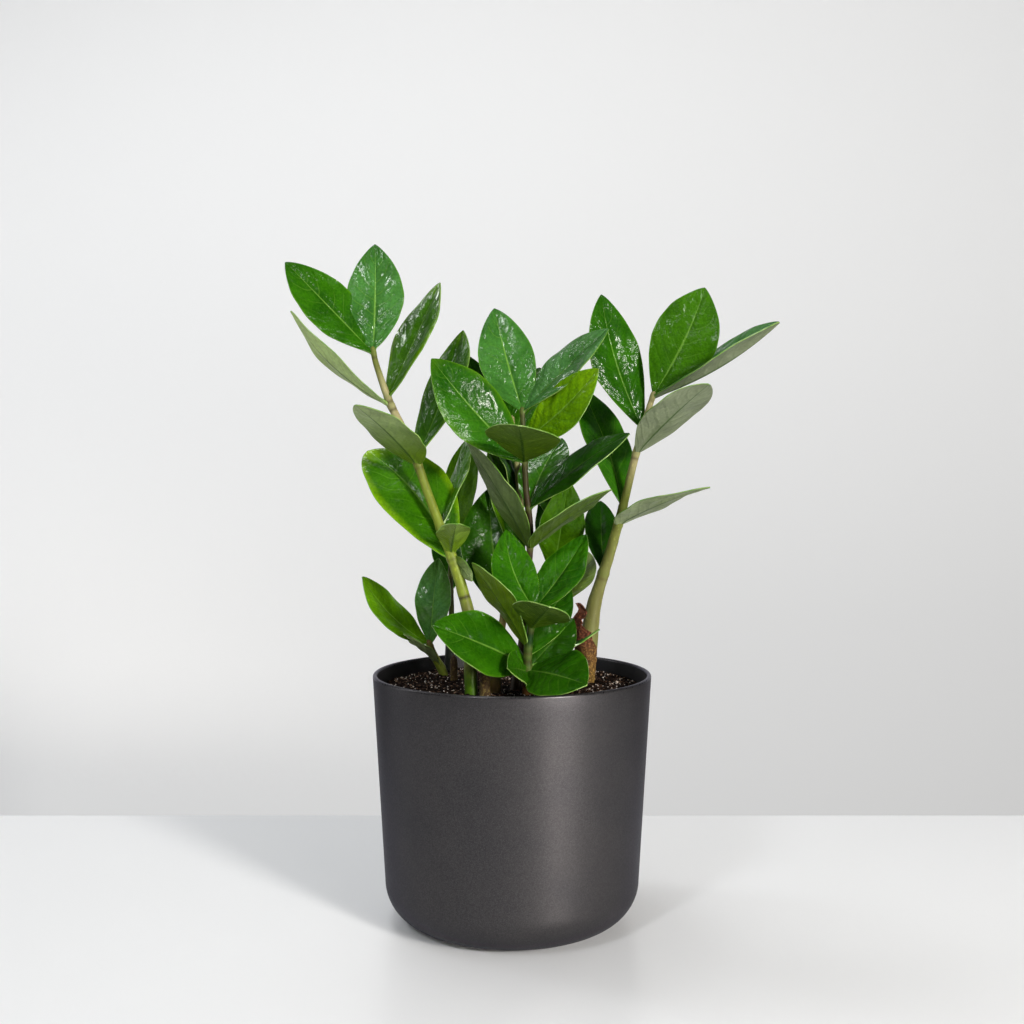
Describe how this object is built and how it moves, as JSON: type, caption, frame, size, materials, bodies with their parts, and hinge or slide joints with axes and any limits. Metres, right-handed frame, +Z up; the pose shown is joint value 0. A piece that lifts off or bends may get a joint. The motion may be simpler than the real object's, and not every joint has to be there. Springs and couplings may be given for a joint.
{
  "type": "potted zz plant",
  "caption": "ZZ plant: leaning leafy stems with glossy pointed leaflets, standing in soil in a round charcoal pot.",
  "frame": {"origin": "on the pot's axis, at the bottom of its flat base", "axes": "+Z up along the pot's axis; -Y towards the front of the plant, as pictured; +X to the right of it"},
  "size_m": [0.2397, 0.1543, 0.3391],
  "materials": {
    "pot": "satin",
    "soil": "matte",
    "leaf": "gloss",
    "dry_stub": "matte",
    "dry_sheath": "matte"
  },
  "bodies": {
    "root": {"pot": "pot", "soil": "soil", "frond_left_tall": "leaf", "frond_left_short": "leaf", "frond_back_left": "leaf", "frond_back_centre": "leaf", "frond_centre": "leaf", "frond_front_short": "leaf", "frond_right_tall": "leaf", "frond_back_right": "leaf", "dry_stub_left": "dry_stub", "dry_stub_front": "dry_stub", "sheath_right": "dry_sheath"}
  },
  "joints": []
}
